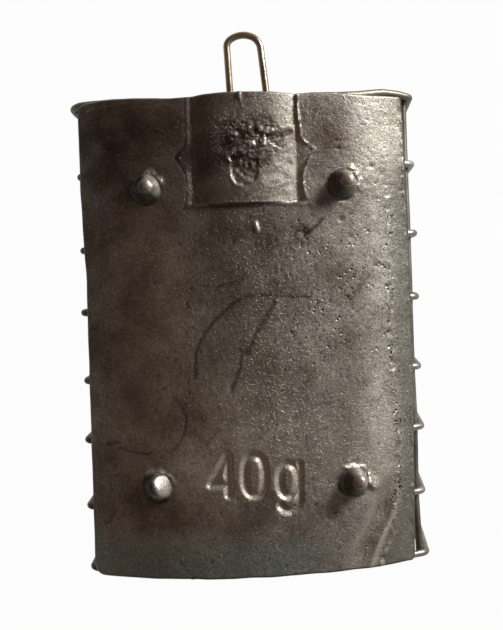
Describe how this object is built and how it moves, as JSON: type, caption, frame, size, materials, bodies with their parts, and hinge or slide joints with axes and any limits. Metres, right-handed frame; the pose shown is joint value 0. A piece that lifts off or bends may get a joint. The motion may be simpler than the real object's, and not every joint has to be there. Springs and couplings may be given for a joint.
{
  "type": "fishing feeder",
  "caption": "Open cage of welded wire mesh cast into a convex lead plate with grip studs and a wire link for the line; holds bait on the river bed.",
  "frame": {"origin": "middle of the footprint, on the surface that the flat run of the cage rests on", "axes": "+Y towards the link for the line, +Z out of the middle of the lead plate, +X across the plate"},
  "size_m": [0.035, 0.0512, 0.0285],
  "materials": {
    "cast_lead": "dull as-cast lead, darkened, with a soft metallic sheen",
    "galvanised_wire": "zinc-coated steel wire, weathered to a warm grey",
    "link_wire": "drawn spring wire, smooth, brownish grey"
  },
  "bodies": {
    "root": {"lead_plate": "cast_lead", "tow_link": "link_wire", "hoop_wire_1": "galvanised_wire", "hoop_wire_2": "galvanised_wire", "hoop_wire_3": "galvanised_wire", "hoop_wire_4": "galvanised_wire", "hoop_wire_5": "galvanised_wire", "hoop_wire_6": "galvanised_wire", "hoop_wire_7": "galvanised_wire", "hoop_wire_8": "galvanised_wire", "long_wire_1": "galvanised_wire", "long_wire_2": "galvanised_wire", "long_wire_3": "galvanised_wire", "long_wire_4": "galvanised_wire", "long_wire_5": "galvanised_wire", "long_wire_6": "galvanised_wire", "long_wire_7": "galvanised_wire", "long_wire_8": "galvanised_wire", "long_wire_9": "galvanised_wire", "long_wire_10": "galvanised_wire", "long_wire_11": "galvanised_wire", "long_wire_12": "galvanised_wire", "long_wire_13": "galvanised_wire", "long_wire_14": "galvanised_wire", "long_wire_15": "galvanised_wire", "long_wire_16": "galvanised_wire"}
  },
  "joints": []
}
